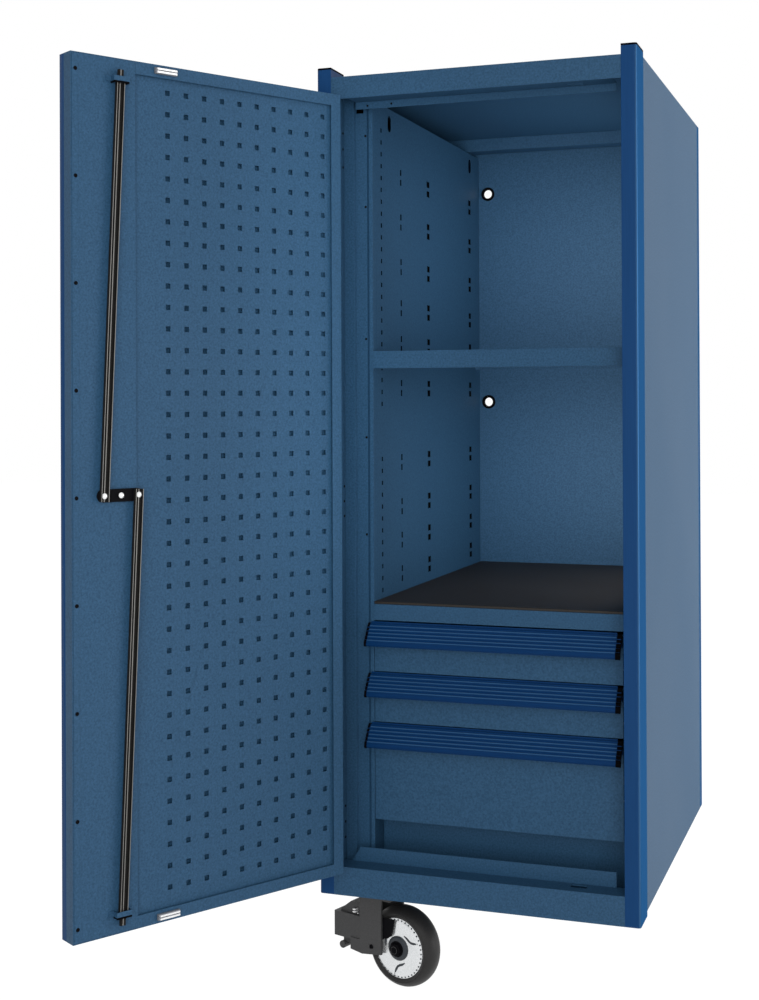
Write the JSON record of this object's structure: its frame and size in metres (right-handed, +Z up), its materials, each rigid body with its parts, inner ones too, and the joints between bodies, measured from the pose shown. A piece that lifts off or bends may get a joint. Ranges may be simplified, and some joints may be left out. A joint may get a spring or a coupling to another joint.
{
  "type": "tool chest side locker",
  "caption": "Steel side locker for a tool chest: pegboard door with a rod lock, shelf, matted deck over drawers with full-width pulls, and casters on its outer side.",
  "frame": {"origin": "on the outer face of the right side panel, half-way up the posts and half-way back: the face that is bolted to the roll cabinet", "axes": "+X out of the mounting face, away from the locker; +Y from the door side to the back; +Z up"},
  "size_m": [0.72, 1.1079, 1.4648],
  "materials": {
    "coat": "textured powder coat, blue",
    "bright_blue": "satin bright blue",
    "black_plastic": "matt",
    "black_steel": "black oxide",
    "zinc": "zinc plated",
    "cast_grey": "dark grey enamel",
    "mat_rubber": "matt",
    "tyre": "matt",
    "hub_cap": "silver paint"
  },
  "bodies": {
    "cabinet": {"post_front_left": "bright_blue", "post_front_right": "bright_blue", "post_rear_left": "bright_blue", "post_rear_right": "bright_blue", "cap_left": "black_plastic", "cap_right": "black_plastic", "side_left": "coat", "side_right": "coat", "roof": "coat", "base": "coat", "back": "coat", "grommet_1": "black_plastic", "grommet_2": "black_plastic", "header": "coat", "sill": "coat", "jamb_left": "coat", "jamb_right": "coat", "wall_left": "coat", "wall_right": "coat", "roof_channel": "coat", "shelf": "coat", "deck": "coat", "mat": "mat_rubber", "slide_1_left": "zinc", "slide_1_right": "zinc", "slide_2_left": "zinc", "slide_2_right": "zinc", "slide_3_left": "zinc", "slide_3_right": "zinc", "hinge_post_leaf": "coat", "caster_front_plate": "cast_grey", "caster_rear_plate": "cast_grey"},
    "door": {"door_pan": "coat", "door_stile": "coat", "pegboard": "coat", "edge_pull": "bright_blue", "hinge_door_leaf": "coat", "rod_guide_upper": "coat", "rod_guide_lower": "coat", "magnet_upper": "zinc", "magnet_lower": "zinc"},
    "lock": {"lock_handle": "black_plastic", "lock_cam": "black_steel"},
    "upper_rod": {"rod_upper": "black_steel"},
    "lower_rod": {"rod_lower": "black_steel"},
    "drawer_1": {"tray_1": "coat", "pull_1": "bright_blue"},
    "drawer_2": {"tray_2": "coat", "pull_2": "bright_blue"},
    "drawer_3": {"tray_3": "coat", "pull_3": "bright_blue"},
    "front_swivel": {"caster_front_yoke": "cast_grey"},
    "front_wheel": {"caster_front_tyre": "tyre", "caster_front_rim": "hub_cap"},
    "front_brake": {"caster_front_brake": "black_plastic"},
    "rear_swivel": {"caster_rear_yoke": "cast_grey"},
    "rear_wheel": {"caster_rear_tyre": "tyre", "caster_rear_rim": "hub_cap"},
    "rear_brake": {"caster_rear_brake": "black_plastic"}
  },
  "joints": [
    {"name": "door_swing", "type": "hinge", "parent": "cabinet", "child": "door", "pos_m": [-0.48675, -0.3555, 0], "axis": [0, 0, -1], "range_deg": [-121, 54]},
    {"name": "lock_turn", "type": "hinge", "parent": "door", "child": "lock", "pos_m": [-0.68676, -0.68838, -0.003], "axis": [-0.8572, 0.515, 0], "range_deg": [0, 90]},
    {"name": "upper_rod_pivot", "type": "hinge", "parent": "lock", "child": "upper_rod", "pos_m": [-0.70041, -0.7111, -0.003], "axis": [-0.8572, 0.515, 0], "range_deg": [-93, 0.5]},
    {"name": "lower_rod_pivot", "type": "hinge", "parent": "lock", "child": "lower_rod", "pos_m": [-0.67312, -0.66567, -0.003], "axis": [-0.8572, 0.515, 0], "range_deg": [-93, 0.5]},
    {"name": "drawer_1_slide", "type": "slide", "parent": "cabinet", "child": "drawer_1", "axis": [0, -1, 0], "range_m": [0, 0.45]},
    {"name": "drawer_2_slide", "type": "slide", "parent": "cabinet", "child": "drawer_2", "axis": [0, -1, 0], "range_m": [0, 0.45]},
    {"name": "drawer_3_slide", "type": "slide", "parent": "cabinet", "child": "drawer_3", "axis": [0, -1, 0], "range_m": [0, 0.45]},
    {"name": "front_caster_swivel", "type": "hinge", "parent": "cabinet", "child": "front_swivel", "pos_m": [-0.444, -0.26, -0.656], "axis": [0, 0, 1], "continuous": true},
    {"name": "front_wheel_spin", "type": "hinge", "parent": "front_swivel", "child": "front_wheel", "pos_m": [-0.38979, -0.27761, -0.7453], "axis": [0.309, 0.9511, 0], "continuous": true},
    {"name": "front_brake_pedal", "type": "hinge", "parent": "front_swivel", "child": "front_brake", "pos_m": [-0.46873, -0.25197, -0.756], "axis": [-0.309, -0.9511, 0], "range_deg": [0, 14]},
    {"name": "rear_caster_swivel", "type": "hinge", "parent": "cabinet", "child": "rear_swivel", "pos_m": [-0.444, 0.26, -0.656], "axis": [0, 0, 1], "continuous": true},
    {"name": "rear_wheel_spin", "type": "hinge", "parent": "rear_swivel", "child": "rear_wheel", "pos_m": [-0.38979, 0.24239, -0.7453], "axis": [0.309, 0.9511, 0], "continuous": true},
    {"name": "rear_brake_pedal", "type": "hinge", "parent": "rear_swivel", "child": "rear_brake", "pos_m": [-0.46873, 0.26803, -0.756], "axis": [-0.309, -0.9511, 0], "range_deg": [0, 14]}
  ],
  "couplings": [
    {"joint": "upper_rod_pivot", "follows": "lock_turn", "ratio": -1.0243},
    {"joint": "lower_rod_pivot", "follows": "lock_turn", "ratio": -1.0243}
  ]
}
